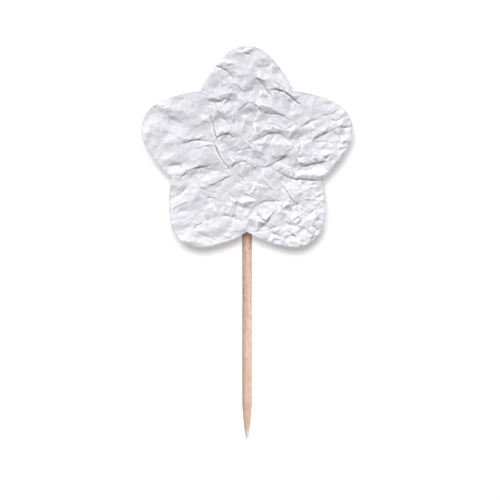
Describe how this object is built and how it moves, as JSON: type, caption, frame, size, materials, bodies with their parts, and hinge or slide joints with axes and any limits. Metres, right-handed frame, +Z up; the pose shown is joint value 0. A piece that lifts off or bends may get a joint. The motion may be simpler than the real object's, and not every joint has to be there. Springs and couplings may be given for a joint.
{
  "type": "cupcake pick",
  "caption": "Cupcake pick: a rounded lobed star of crumpled white paper on card, both sides, held on a pointed round wooden stick.",
  "frame": {"origin": "end of the stick's lower point, where the pick goes into the cake", "axes": "+Z up the stick from its point towards the star, -Y out of the front of the star, +X to the right seen from the front"},
  "size_m": [0.0444, 0.0046, 0.0822],
  "materials": {
    "wood": "plain unvarnished birch, fine straight grain along the stick",
    "crumpled_paper": "matt white paper, crumpled and pressed flat again",
    "card": "smooth white card with clean cut edges",
    "foam": "soft white closed-cell foam with tacky faces",
    "hot_melt_glue": "milky, half clear, smooth and slightly glossy"
  },
  "bodies": {
    "root": {"stick": "wood", "front_facing": "crumpled_paper", "front_card": "card", "back_card": "card", "back_facing": "crumpled_paper", "glue_bead": "hot_melt_glue", "foam_pad_top": "foam", "foam_pad_upper_left": "foam", "foam_pad_upper_right": "foam", "foam_pad_lower_left": "foam", "foam_pad_lower_right": "foam"}
  },
  "joints": []
}
